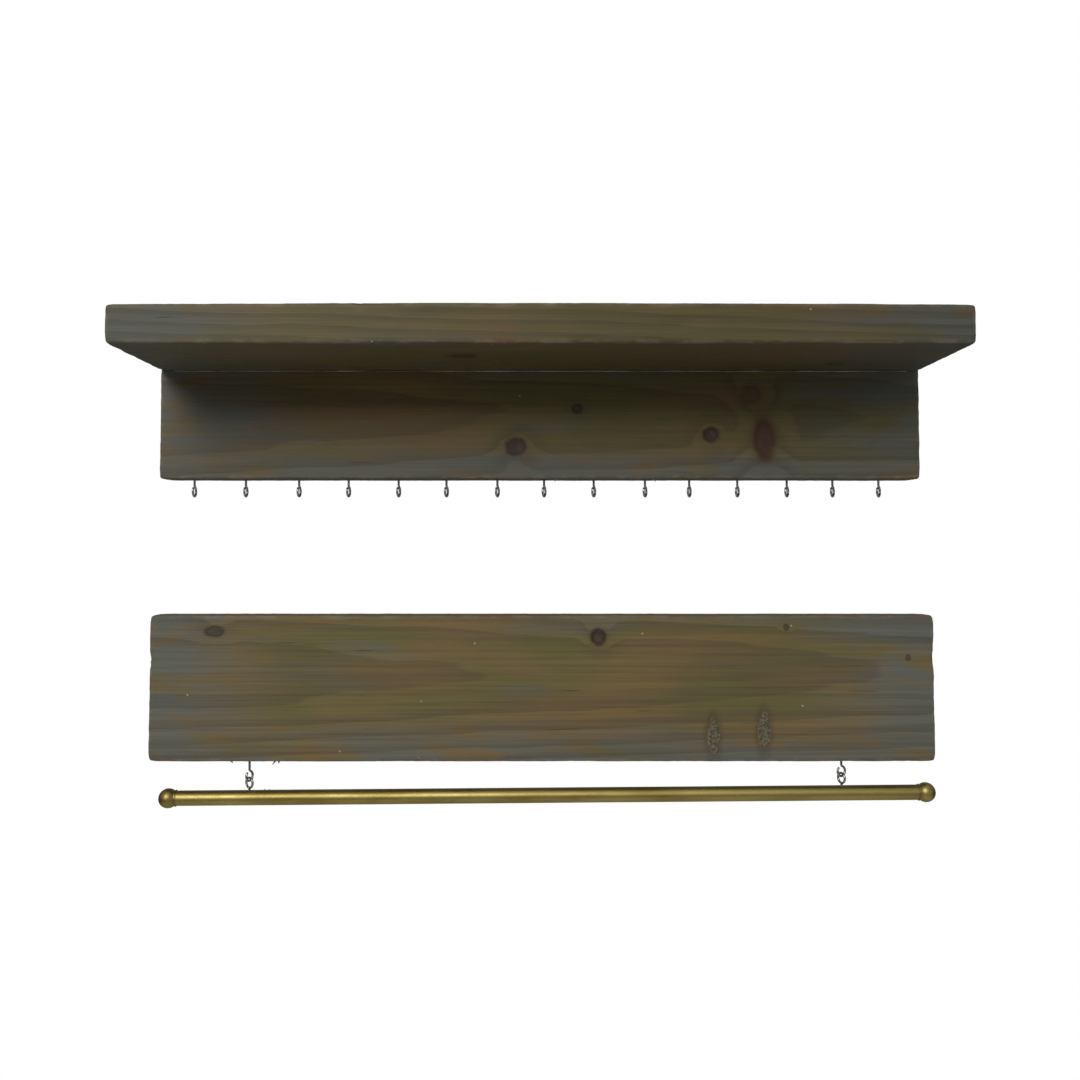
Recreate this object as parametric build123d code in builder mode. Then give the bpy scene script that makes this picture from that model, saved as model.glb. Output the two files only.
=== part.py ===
"""Two-piece wall organiser for jewellery: a small shelf with a row of necklace hooks,
and below it a board that carries a hanging rod for bracelets.

Millimetres. X runs along the boards, Y = 0 is the wall and the front looks along -Y, +Z is up.
The origin is on the wall, midway between the two entry holes of the upper keyhole hangers.
"""

import os
from math import acos, atan2, cos, degrees, radians, sin, sqrt

from build123d import *

# boards, all three cut from the same planed stock
stock_thickness = 19.0
stock_width = 76.0
upper_length = 400.0
lower_length = 410.0
lower_shift = 1.0  # the lower board hangs this far right of the upper one
gap_between_units = 71.5
edge_easing = 0.9

# keyhole hangers let flush into the backs of the two boards
hanger_spacing = 300.0
hanger_width = 16.0
hanger_height = 50.0
hanger_thickness = 1.2
hanger_above_entry = 5.0  # centre of the plate above the middle of the entry hole
entry_radius = 4.5
slot_radius = 2.3
lift = 10.0  # travel from the top of the slot down to the entry hole
hanger_screw_pitch = 40.0
hanger_recess_gap = 0.15
pocket_radius = 5.5
pocket_depth = 9.0

# screws that hold the hangers
hanger_screw_head_radius = 2.8
hanger_screw_radius = 1.4
hanger_screw_length = 13.0
hanger_screw_point = 2.5

# screws that hold the shelf, driven from behind
shelf_screw_spacing = 170.0
shelf_screw_head_radius = 3.9
shelf_screw_head_height = 2.6
shelf_screw_radius = 1.9
shelf_screw_length = 45.0
shelf_screw_point = 4.0
shelf_screw_sink = 0.6

# wire hooks, screwed up into the bottom edges of the boards
wire_radius = 0.6
loop_radius = 2.6  # to the middle of the wire
neck_bend_radius = 1.0
hook_tip_angle = 140.0
thread_radius = 0.8
thread_length = 9.0
thread_point = 2.0

# row of necklace hooks, set out by eye, so each one is a little off the even spacing;
# each is turned a little less than the one on its left
necklace_hook_pitch = 26.0
necklace_hook_turn = 73.0
necklace_hook_fan = 33.0
necklace_hook_drop = 2.75
necklace_hook_wander = [-2.3, -0.9, 1.5, 1.9, 2.6, 2.1, 3.3, 2.2, 2.7, 4.1, 1.7, 1.4, 1.8, 0.2, -1.2]

# hooks and eyes of the bracelet rod, the left hook screwed in less than the right one
rod_hook_left_x = -153.4
rod_hook_right_x = 159.3
rod_hook_left_turn = 67.0
rod_hook_right_turn = 30.0
rod_hook_left_drop = 5.6
rod_hook_right_drop = 3.2
eye_left_turn = -38.0
eye_right_turn = -65.0
eye_neck = 0.6
eye_screw_depth = 5.5
eye_screw_point = 1.2
hook_eye_gap = 0.4

# bracelet rod
rod_radius = 4.0
rod_overall = 410.0
rod_shift = 0.8  # the middle of the rod, to the right of midway between its eyes
finial_radius = 5.15
tenon_radius = 2.5
tenon_length = 5.0

# places that follow from the sizes
mid_depth = -stock_thickness / 2
upper_top = stock_width / 2
upper_bottom = upper_top - stock_width
shelf_bottom = upper_top - stock_thickness
shelf_back = -stock_thickness
lower_top = upper_bottom - gap_between_units
lower_bottom = lower_top - stock_width
lower_entry = (lower_top + lower_bottom) / 2

# the neck bends out just far enough for the loop to hang centred under the shank
neck_angle = degrees(acos(neck_bend_radius / (neck_bend_radius + loop_radius)))
neck_height = (neck_bend_radius + loop_radius) * sin(radians(neck_angle))
hook_hang = neck_height + loop_radius  # from the end of the shank to the middle of the bottom wire

# the rod hangs from the line through the top wires of its two eyes
hinge_rise = 2 * wire_radius + hook_eye_gap
hinge_left_z = lower_bottom - rod_hook_left_drop - hook_hang + hinge_rise
hinge_right_z = lower_bottom - rod_hook_right_drop - hook_hang + hinge_rise
eye_spacing = sqrt((rod_hook_right_x - rod_hook_left_x) ** 2 + (hinge_right_z - hinge_left_z) ** 2)
rod_tilt = atan2(hinge_right_z - hinge_left_z, rod_hook_right_x - rod_hook_left_x)
rod_along = Vector(cos(rod_tilt), 0, sin(rod_tilt))
rod_up = Vector(-sin(rod_tilt), 0, cos(rod_tilt))
hinge_middle = Vector(
    (rod_hook_left_x + rod_hook_right_x) / 2, mid_depth, (hinge_left_z + hinge_right_z) / 2
)
rod_below_hinge = 2 * loop_radius + wire_radius + eye_neck + rod_radius
rod_middle = hinge_middle - rod_up * rod_below_hinge + rod_along * rod_shift
finial_face = sqrt(finial_radius**2 - rod_radius**2)  # where the ball is as thick as the rod
rod_half = rod_overall / 2 - finial_radius - finial_face

left_right = (("left", -1), ("right", 1))

os.makedirs("parts", exist_ok=True)


def save(piece, name):
    """Label a finished piece and write it to its own file."""
    piece.part.label = name
    export_step(piece.part, f"parts/{name}.step")


def plank(length, height, depth, centre_x, bottom, back):
    """A board with lightly eased edges, inside the current part."""
    with BuildSketch(Plane.XZ.offset(-back)) as front:
        with Locations((centre_x, bottom + height / 2)):
            Rectangle(length, height)
    extrude(front.sketch, amount=depth)
    fillet(edges(), edge_easing)


def pointed_core(foot, direction, radius, length, point, mode):
    """The solid core of a wood screw: a straight shank and a cone for its point."""
    run = Plane(origin=foot, x_dir=direction, z_dir=Vector(direction).cross(Vector(1, 2, 3)))
    with BuildSketch(run) as profile:
        with BuildLine():
            Polyline((0, 0), (0, radius), (length - point, radius), (length, 0), close=True)
        make_face()
    revolve(profile.sketch, axis=Axis(foot, direction), mode=mode)


def countersunk_head(foot, direction, head_radius, head_height, radius, mode):
    """The cone of a countersunk head, wide at its foot."""
    run = Plane(origin=foot, x_dir=direction, z_dir=Vector(direction).cross(Vector(1, 2, 3)))
    with BuildSketch(run) as profile:
        with BuildLine():
            Polyline((0, 0), (0, head_radius), (head_height, radius), (head_height, 0), close=True)
        make_face()
    revolve(profile.sketch, axis=Axis(foot, direction), mode=mode)


def necklace_hook_places():
    """Where the necklace hooks stand along the board."""
    count = len(necklace_hook_wander)
    return [
        (index - (count - 1) / 2) * necklace_hook_pitch + wander
        for index, wander in enumerate(necklace_hook_wander)
    ]


def hanger_screw_places(centre_x, entry_z):
    """Feet of the two screws of one hanger, on the wall plane."""
    return [
        (centre_x, 0, entry_z + hanger_above_entry + side * hanger_screw_pitch / 2)
        for side in (1, -1)
    ]


def hanger_recess(centre_x, entry_z):
    """Cut the seat of one keyhole hanger and the pocket behind its slot into the current part."""
    with BuildSketch(Plane.XZ) as seat:
        with Locations((centre_x, entry_z + hanger_above_entry)):
            SlotOverall(
                hanger_height + 2 * hanger_recess_gap,
                hanger_width + 2 * hanger_recess_gap,
                rotation=90,
            )
    extrude(seat.sketch, amount=hanger_thickness, mode=Mode.SUBTRACT)
    with BuildSketch(Plane.XZ) as pocket:
        with Locations((centre_x, entry_z + lift / 2)):
            SlotOverall(lift + 2 * pocket_radius, 2 * pocket_radius, rotation=90)
    extrude(pocket.sketch, amount=pocket_depth, mode=Mode.SUBTRACT)
    for foot in hanger_screw_places(centre_x, entry_z):
        pointed_core(
            foot, (0, -1, 0), hanger_screw_radius, hanger_screw_length, hanger_screw_point, Mode.SUBTRACT
        )


def hanger_plate(centre_x, entry_z):
    """A keyhole hanger with rounded ends and two countersunk holes, inside the current part."""
    with BuildSketch(Plane.XZ) as outline:
        with Locations((centre_x, entry_z + hanger_above_entry)):
            SlotOverall(hanger_height, hanger_width, rotation=90)
        with Locations((centre_x, entry_z)):
            Circle(entry_radius, mode=Mode.SUBTRACT)
        with Locations((centre_x, entry_z + lift / 2)):
            SlotOverall(lift + 2 * slot_radius, 2 * slot_radius, rotation=90, mode=Mode.SUBTRACT)
    extrude(outline.sketch, amount=hanger_thickness)
    for foot in hanger_screw_places(centre_x, entry_z):
        countersunk_head(
            foot, (0, -1, 0), hanger_screw_head_radius, hanger_thickness, hanger_screw_radius, Mode.SUBTRACT
        )


def hanger_screw(foot):
    """One small countersunk screw, its head flush with the plate, inside the current part."""
    countersunk_head(
        foot, (0, -1, 0), hanger_screw_head_radius, hanger_thickness, hanger_screw_radius, Mode.ADD
    )
    pointed_core(foot, (0, -1, 0), hanger_screw_radius, hanger_screw_length, hanger_screw_point, Mode.ADD)


def shelf_screw_places():
    """Feet of the shelf screws, sunk a little below the back of the back board."""
    height = (upper_top + shelf_bottom) / 2
    return [(side * shelf_screw_spacing, -shelf_screw_sink, height) for side in (-1, 0, 1)]


def shelf_screw_shape(foot, mode):
    """One shelf screw, added to the current part or cut out of it."""
    countersunk_head(
        foot, (0, -1, 0), shelf_screw_head_radius, shelf_screw_head_height, shelf_screw_radius, mode
    )
    pointed_core(foot, (0, -1, 0), shelf_screw_radius, shelf_screw_length, shelf_screw_point, mode)


def hook_thread(x, z, mode):
    """The threaded end of a hook, standing up into the board from its bottom edge."""
    pointed_core((x, mid_depth, z), (0, 0, 1), thread_radius, thread_length, thread_point, mode)


def wire_hook(x, z, drop, turn):
    """An open screw hook below a bottom edge, inside the current part."""
    across = Vector(cos(radians(turn)), sin(radians(turn)), 0)
    run = Plane(origin=(x, mid_depth, z), x_dir=across, z_dir=across.cross(Vector(0, 0, 1)))
    with BuildLine(run) as bend:
        shank = Line((0, 0), (0, -drop))
        neck = JernArc(shank @ 1, shank % 1, neck_bend_radius, neck_angle)
        JernArc(neck @ 1, neck % 1, loop_radius, -(neck_angle + 360 - hook_tip_angle))
    with BuildSketch(Plane(origin=bend.line @ 0, x_dir=across, z_dir=(0, 0, -1))) as section:
        Circle(wire_radius)
    sweep(section.sketch, path=bend.wire())
    with Locations(bend.wire() @ 1):
        Sphere(wire_radius)
    hook_thread(x, z, Mode.ADD)


# shelf board: it stands out from the front face of the back board, flush with its top
with BuildPart() as shelf_board:
    plank(upper_length, stock_thickness, stock_width, 0, shelf_bottom, shelf_back)
    for foot in shelf_screw_places():
        shelf_screw_shape(foot, Mode.SUBTRACT)
save(shelf_board, "shelf_board")

# back board: lies flat on the wall and carries everything in the upper unit
with BuildPart() as back_board:
    plank(upper_length, stock_width, stock_thickness, 0, upper_bottom, 0)
    for _, side in left_right:
        hanger_recess(side * hanger_spacing / 2, 0)
    for foot in shelf_screw_places():
        shelf_screw_shape(foot, Mode.SUBTRACT)
        countersunk_head(
            (foot[0], 0, foot[2]),
            (0, -1, 0),
            shelf_screw_head_radius,
            shelf_screw_sink,
            shelf_screw_head_radius,
            Mode.SUBTRACT,
        )
    for x in necklace_hook_places():
        hook_thread(x, upper_bottom, Mode.SUBTRACT)
save(back_board, "back_board")

for index, foot in enumerate(shelf_screw_places(), start=1):
    with BuildPart() as shelf_screw:
        shelf_screw_shape(foot, Mode.ADD)
    save(shelf_screw, f"shelf_screw_{index}")

for index, x in enumerate(necklace_hook_places(), start=1):
    along_row = (index - 1) / (len(necklace_hook_wander) - 1) - 0.5
    with BuildPart() as necklace_hook:
        turned = necklace_hook_turn - necklace_hook_fan * along_row
        wire_hook(x, upper_bottom, necklace_hook_drop, turned)
    save(necklace_hook, f"necklace_hook_{index:02d}")

# rod board: the plain board of the lower unit
with BuildPart() as rod_board:
    plank(lower_length, stock_width, stock_thickness, lower_shift, lower_bottom, 0)
    for _, side in left_right:
        hanger_recess(lower_shift + side * hanger_spacing / 2, lower_entry)
    for x in (rod_hook_left_x, rod_hook_right_x):
        hook_thread(x, lower_bottom, Mode.SUBTRACT)
save(rod_board, "rod_board")

for side_name, x, drop, turned in (
    ("left", rod_hook_left_x, rod_hook_left_drop, rod_hook_left_turn),
    ("right", rod_hook_right_x, rod_hook_right_drop, rod_hook_right_turn),
):
    with BuildPart() as rod_hook:
        wire_hook(x, lower_bottom, drop, turned)
    save(rod_hook, f"rod_hook_{side_name}")

# keyhole hangers and their screws, two to a unit
for unit, centre, entry_z in (("upper", 0, 0), ("lower", lower_shift, lower_entry)):
    for side_name, side in left_right:
        centre_x = centre + side * hanger_spacing / 2
        with BuildPart() as hanger:
            hanger_plate(centre_x, entry_z)
        save(hanger, f"{unit}_hanger_{side_name}")
        for end_name, foot in zip(("top", "bottom"), hanger_screw_places(centre_x, entry_z)):
            with BuildPart() as small_screw:
                hanger_screw(foot)
            save(small_screw, f"{unit}_hanger_{side_name}_{end_name}_screw")

# bracelet rod: a bar with a tenon at each end for its ball finial
rod_across = Plane(origin=rod_middle, x_dir=(0, 1, 0), z_dir=rod_along)


def eye_foot(side):
    """Where an eye's shank meets the top of the rod."""
    along_rod = side * eye_spacing / 2 - rod_shift
    return rod_middle + rod_along * along_rod + rod_up * rod_radius


def eye_thread(side, mode):
    """The threaded end of an eye, screwed down into the rod."""
    foot = eye_foot(side)
    pointed_core(foot, rod_up * -1, thread_radius, eye_screw_depth, eye_screw_point, mode)


with BuildPart() as rod:
    with BuildSketch(rod_across):
        Circle(rod_radius)
    extrude(amount=rod_half, both=True)
    with BuildSketch(rod_across):
        Circle(tenon_radius)
    extrude(amount=rod_half + tenon_length, both=True)
    for _, side in left_right:
        eye_thread(side, Mode.SUBTRACT)
save(rod, "bracelet_rod")

# ball finials, flat where they meet the shoulder of the rod
for side_name, side in left_right:
    face = Plane(origin=rod_middle + rod_along * side * rod_half, x_dir=(0, 1, 0), z_dir=rod_along * side)
    with BuildPart() as finial:
        with Locations(face.offset(finial_face)):
            Sphere(finial_radius)
        split(bisect_by=face, keep=Keep.TOP)
        with BuildSketch(face):
            Circle(tenon_radius)
        extrude(amount=tenon_length, mode=Mode.SUBTRACT)
    save(finial, f"rod_finial_{side_name}")

# closed eyes that link the rod to its hooks
for (side_name, side), eye_turn in zip(left_right, (eye_left_turn, eye_right_turn)):
    foot = eye_foot(side)
    ring_middle = foot + rod_up * (eye_neck + wire_radius + loop_radius)
    ring_across = Vector(cos(radians(eye_turn)), sin(radians(eye_turn)), 0)
    ring_plane = Plane(origin=ring_middle, z_dir=ring_across.cross(rod_up))
    with BuildPart() as eye:
        with Locations(ring_plane):
            Torus(loop_radius, wire_radius)
        with BuildSketch(Plane(origin=foot, z_dir=rod_up)):
            Circle(wire_radius)
        extrude(amount=eye_neck + wire_radius)
        eye_thread(side, Mode.ADD)
    save(eye, f"rod_eye_{side_name}")
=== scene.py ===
from math import acos, cos, pi, radians, sin, sqrt

import bmesh
import bpy
from mathutils import Matrix, Vector, noise


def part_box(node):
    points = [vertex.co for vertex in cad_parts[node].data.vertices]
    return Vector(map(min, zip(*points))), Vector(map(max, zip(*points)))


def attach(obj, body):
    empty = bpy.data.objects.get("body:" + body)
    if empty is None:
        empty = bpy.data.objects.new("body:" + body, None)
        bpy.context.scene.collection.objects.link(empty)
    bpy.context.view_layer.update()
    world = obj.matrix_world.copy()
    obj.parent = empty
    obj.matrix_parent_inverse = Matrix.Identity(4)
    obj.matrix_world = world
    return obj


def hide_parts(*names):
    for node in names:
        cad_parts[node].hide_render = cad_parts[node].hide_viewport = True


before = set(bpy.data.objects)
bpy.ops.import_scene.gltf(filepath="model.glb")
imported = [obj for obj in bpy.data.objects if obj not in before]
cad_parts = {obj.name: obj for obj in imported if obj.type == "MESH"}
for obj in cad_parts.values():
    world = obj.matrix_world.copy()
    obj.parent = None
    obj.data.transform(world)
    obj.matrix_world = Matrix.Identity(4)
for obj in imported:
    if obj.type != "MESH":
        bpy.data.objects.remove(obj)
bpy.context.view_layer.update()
mm = 0.001


# small helpers

def letGo():
    if bpy.context.object and bpy.context.object.mode != "OBJECT":
        bpy.ops.object.mode_set(mode="OBJECT")
    bpy.ops.object.select_all(action="DESELECT")


def pick(piece):
    letGo()
    piece.select_set(True)
    bpy.context.view_layer.objects.active = piece


def editAll(piece):
    pick(piece)
    bpy.ops.object.mode_set(mode="EDIT")
    bpy.ops.mesh.select_all(action="SELECT")


def selectVerts(piece, test):
    bpy.ops.mesh.select_mode(type="VERT")
    bm = bmesh.from_edit_mesh(piece.data)
    for part in (bm.faces, bm.edges, bm.verts):
        for item in part:
            item.select = False
    for vert in bm.verts:
        vert.select = test(vert.co)
    bm.select_flush_mode()
    bmesh.update_edit_mesh(piece.data)


def selectEdges(piece, test):
    bpy.ops.mesh.select_mode(type="EDGE")
    bm = bmesh.from_edit_mesh(piece.data)
    for part in (bm.faces, bm.edges, bm.verts):
        for item in part:
            item.select = False
    for edge in bm.edges:
        if test(edge.verts[0].co, edge.verts[1].co):
            edge.select_set(True)
    bm.select_flush_mode()
    bmesh.update_edit_mesh(piece.data)


def settle(piece, smooth=35):
    # place goes into the mesh, faces point outwards
    editAll(piece)
    bpy.ops.mesh.remove_doubles(threshold=0.002 * mm)
    bpy.ops.mesh.normals_make_consistent(inside=False)
    pick(piece)
    bpy.ops.object.transform_apply(location=True, rotation=True, scale=True)
    bpy.ops.object.shade_smooth_by_angle(angle=radians(smooth))


def finishPiece(piece, name, body, material, nodes=()):
    piece.name = name
    piece.data.name = name
    piece.data.materials.clear()
    piece.data.materials.append(material)
    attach(piece, body)
    if nodes:
        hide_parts(*nodes)
    return piece


def copyPiece(source, shift, turn=0.0, about=None):
    # a copy with its own mesh, moved and turned about an upright line
    pick(source)
    bpy.ops.object.duplicate(linked=False)
    twin = bpy.context.object
    move = Matrix.Translation(shift)
    if about is not None:
        move = move @ Matrix.Translation(about) @ Matrix.Rotation(turn, 4, "Z") @ Matrix.Translation(-about)
    twin.data.transform(move)
    return twin


def cutWith(piece, cutter):
    pick(piece)
    bpy.ops.object.modifier_add(type="BOOLEAN")
    cut = piece.modifiers[-1]
    cut.operation = "DIFFERENCE"
    cut.solver = "EXACT"
    cut.use_self = True
    cut.object = cutter
    bpy.ops.object.modifier_apply(modifier=cut.name)
    bpy.data.objects.remove(cutter, do_unlink=True)


def joinBlocks(blocks):
    letGo()
    for block in blocks:
        block.select_set(True)
    bpy.context.view_layer.objects.active = blocks[0]
    bpy.ops.object.join()
    return blocks[0]


def stepOut(steps, centre):
    # extrude what is selected along each move, then scale it about its own middle
    middle = Vector(centre)
    for move, size in steps:
        middle = middle + Vector(move)
        bpy.ops.mesh.extrude_region_move(TRANSFORM_OT_translate={"value": move})
        if size != 1:
            bpy.ops.transform.resize(value=(size, size, size), center_override=middle)
    return middle


def srgb(text):
    # hex colour to linear
    value = text.lstrip("#")
    out = []
    for start in (0, 2, 4):
        c = int(value[start:start + 2], 16) / 255
        out.append(c / 12.92 if c <= 0.04045 else ((c + 0.055) / 1.055) ** 2.4)
    return (*out, 1.0)


# settings that many nodes share
plus = {"operation": "ADD"}
minus = {"operation": "SUBTRACT"}
times = {"operation": "MULTIPLY"}
dividedBy = {"operation": "DIVIDE"}
larger = {"operation": "MAXIMUM"}
fraction = {"operation": "FRACT"}
withoutSign = {"operation": "ABSOLUTE"}
held = {"use_clamp": True}
softStep = {"interpolation_type": "SMOOTHSTEP"}
mixColour = {"data_type": "RGBA", "clamp_factor": True}


def addNode(tree, kind, settings=None, *inputs):
    # one node with its settings; inputs come in order, or as one dictionary by name
    node = tree.nodes.new("ShaderNode" + kind)
    for key, value in (settings or {}).items():
        setattr(node, key, value)
    named = inputs[0] if inputs and isinstance(inputs[0], dict) else dict(enumerate(inputs))
    for key, value in named.items():
        if isinstance(value, bpy.types.Node):
            value = value.outputs[0]
        if isinstance(value, bpy.types.NodeSocket):
            tree.links.new(value, node.inputs[key])
        else:
            node.inputs[key].default_value = value
    return node


def newMaterial(name):
    material = bpy.data.materials.new(name)
    material.use_nodes = True
    tree = material.node_tree
    tree.nodes.clear()
    out = addNode(tree, "OutputMaterial")
    shader = addNode(tree, "BsdfPrincipled")
    tree.links.new(shader.outputs[0], out.inputs["Surface"])
    return material, tree, shader


def millimetres(tree):
    # object coordinates in millimetres
    place = addNode(tree, "TexCoord")
    return addNode(tree, "VectorMath", {"operation": "SCALE"},
                   {0: place.outputs["Object"], "Scale": 1000.0}).outputs[0]


def stretchNoise(tree, place, size, detail=3.0, rough=0.55, shift=(0, 0, 0), distortion=0.0):
    # noise with a feature size in millimetres along each axis
    moved = addNode(tree, "Mapping", {"vector_type": "POINT"},
                    {"Vector": place, "Location": shift, "Scale": tuple(1 / s for s in size)})
    return addNode(tree, "TexNoise", {},
                   {"Vector": moved.outputs[0], "Scale": 1.0, "Detail": detail, "Roughness": rough,
                    "Distortion": distortion}).outputs["Fac"]


# camera, light and floor

view = {
    "place": (-2.7, -588.4, -76.2),
    "tiltUp": 2.276,
    "turn": -0.093,
    "lens": 36.2,
    "shiftX": 0.0031,
    "shiftY": -0.0293,
}
bpy.ops.object.camera_add(location=Vector(view["place"]) * mm,
                          rotation=(radians(90 + view["tiltUp"]), 0, radians(view["turn"])))
camera = bpy.context.object
camera.name = "studioCamera"
camera.data.sensor_width = 36.0
camera.data.lens = view["lens"]
camera.data.shift_x = view["shiftX"]
camera.data.shift_y = view["shiftY"]
camera.data.clip_start = 0.01
bpy.context.scene.camera = camera
bpy.context.scene.view_settings.view_transform = "Standard"
bpy.context.scene.view_settings.look = "None"

studio = {
    "paper": 1.0,        # white paper seen behind the object
    "skyTop": 0.30,      # soft light from above and around
    "skyFloor": 0.03,    # little comes up from below
    "key": 42.0,         # soft box, front left and high, throws the shelf's shadow
    "fill": 3.0,         # front right
    "rim": 5.0,          # overhead
}


def lightWorld():
    world = bpy.data.worlds.new("paperWhite")
    bpy.context.scene.world = world
    world.use_nodes = True
    tree = world.node_tree
    tree.nodes.clear()
    way = addNode(tree, "TexCoord")
    parts = addNode(tree, "SeparateXYZ", {}, {0: way.outputs["Generated"]})
    height = addNode(tree, "MapRange", softStep, parts.outputs["Z"], -0.5, 0.6)
    strength = addNode(
        tree, "MapRange", {}, {"Value": height, "To Min": studio["skyFloor"], "To Max": studio["skyTop"]},
    ).outputs[0]
    glow = addNode(tree, "Background", {}, {"Color": srgb("#ffffff"), "Strength": strength})
    paper = addNode(tree, "Background", {}, {"Color": srgb("#ffffff"), "Strength": studio["paper"]})
    ray = addNode(tree, "LightPath")
    both = addNode(tree, "MixShader", {},
                   {0: ray.outputs["Is Camera Ray"], 1: glow.outputs[0], 2: paper.outputs[0]})
    addNode(tree, "OutputWorld", {}, {"Surface": both.outputs[0]})


def softBox(name, place, target, size, power):
    bpy.ops.object.light_add(type="AREA", location=place)
    box = bpy.context.object
    box.name = name
    box.data.shape = "RECTANGLE"
    box.data.size = size[0]
    box.data.size_y = size[1]
    box.data.energy = power
    aim = Vector(target) - Vector(place)
    box.rotation_euler = aim.to_track_quat("-Z", "Y").to_euler()


def paperFloor():
    # pale round floor, rolled up a little at its rim, well below the object
    floorLook = {"height": -1.25, "radius": 1.9, "colour": "#f2f1ee"}
    letGo()
    bpy.ops.mesh.primitive_circle_add(vertices=96, radius=floorLook["radius"] * 0.9,
                                      location=(0, -0.2, floorLook["height"]), fill_type="NGON")
    floor = bpy.context.object
    editAll(floor)
    stepOut([((0, 0, 0.004), 1.03), ((0, 0, 0.012), 1.03), ((0, 0, 0.02), 1.02)],
            (0, -0.2, floorLook["height"]))
    letGo()
    material, tree, shader = newMaterial("mattPaper")  # uncoated paper: flat, no gloss, faint tooth
    place = millimetres(tree)
    tooth = stretchNoise(tree, place, (3, 3, 3))
    colour = addNode(
        tree, "Mix", mixColour,
        {
            0: addNode(tree, "MapRange", softStep, tooth, 0.3, 0.7), 6: srgb(floorLook["colour"]),
            7: srgb("#f6f5f2"),
        },
    ).outputs[2]
    tree.links.new(colour, shader.inputs["Base Color"])
    shader.inputs["Roughness"].default_value = 0.95
    settle(floor)
    floor.name = "paperFloor"
    floor.data.materials.append(material)


lightWorld()
softBox("keySoftBox", (-0.68, -2.1, 1.0), (0, 0, -0.05), (0.9, 1.0), studio["key"])
softBox("fillSoftBox", (1.3, -1.5, 0.1), (0, 0, -0.05), (1.0, 1.4), studio["fill"])
softBox("topSoftBox", (0, -0.5, 1.5), (0, -0.02, 0), (1.6, 1.0), studio["rim"])
paperFloor()
print("studio ready")


# stained pine

# knots: middle in millimetres along the board and across its face, half sizes, darkness, redness
shelfPine = {
    "heart": (6.0, -70.0),       # pith line, across and up from the origin
    "ringWidth": 3.6,
    "shift": (40, 3, 9),
    "across": "Y",
    "knots": [((-38.0, -61.8), (5.5, 4.0), 0.75, 0.35), ((150.0, -40.0), (4.0, 3.2), 0.5, 0.2)],
    "patches": [],
    # painted sheen: cool grey painted at the ends (from, to in millimetres out from the middle) and along
    # the lower strip (from, to in height), standing for the white surroundings reflected there
    "coolEnds": (105, 205),
    "coolLow": (-50, -60),
    "value": (0.75, 0.60),       # left end, right end
}
backPine = {
    "heart": (34.0, -6.0),
    "ringWidth": 4.2,
    "shift": (-70, 11, 2),
    "across": "Z",
    "knots": [
        ((-12.7, -21.1), (4.4, 4.0), 0.85, 0.25),
        ((19.5, -1.0), (2.3, 2.0), 0.7, 0.2),
        ((89.8, -14.8), (3.6, 3.2), 0.9, 0.35),
        ((117.9, -17.4), (4.6, 8.5), 0.45, 0.95),
        ((111.2, 6.5), (4.5, 4.0), 0.35, 0.1),
    ],
    "patches": [],
    # painted sheen at the ends and along the lower strip, as for the shelf
    "coolEnds": (110, 200),
    "coolLow": (-18, -34),
    "value": (0.82, 0.78),
}
rodBoardPine = {
    "heart": (30.0, -139.0),
    "ringWidth": 4.6,
    "shift": (15, -31, 60),
    "across": "Z",
    "knots": [
        ((-170.0, -117.9), (4.2, 2.4), 0.7, 0.1),
        ((30.4, -121.0), (3.1, 3.6), 0.9, 0.8),
        ((128.6, -115.9), (1.3, 1.6), 0.6, 0.1),
        ((192.4, -131.6), (1.2, 1.4), 0.6, 0.1),
    ],
    "patches": [((90.4, -173.2), (3.4, 9.5)), ((116.8, -169.5), (3.4, 10.0))],
    # painted sheen at the ends and along the lower strip, as for the shelf
    "coolEnds": (120, 205),
    "coolLow": (-158, -182),
    "value": (0.96, 0.94),
}
pineTone = {
    "warm": "#6d5a38",
    "olive": "#5f5833",
    # cool grey: the painted sheen at the ends and lower strips, and grey streaks where the rings drift
    "cool": "#5b5c54",
    "red": "#70513a",
    "knotDark": "#2a231b",
    "knotRed": "#4a2a1b",
    "fresh": "#8b8370",
    "dust": "#a8a392",
}


def planeDistance(tree, place, middle, halfSize, across):
    # distance from a knot's middle, 1 at its rim, measured in the plane of the face
    side = (1 / halfSize[0], 0, 1 / halfSize[1]) if across == "Z" else (1 / halfSize[0], 1 / halfSize[1], 0)
    centre = (middle[0], 0, middle[1]) if across == "Z" else (middle[0], middle[1], 0)
    away = addNode(tree, "VectorMath", {"operation": "SUBTRACT"}, {0: place, 1: centre})
    sized = addNode(tree, "VectorMath", {"operation": "MULTIPLY"}, {0: away.outputs[0], 1: side})
    return addNode(tree, "VectorMath", {"operation": "LENGTH"}, {0: sized.outputs[0]}).outputs["Value"]


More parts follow.
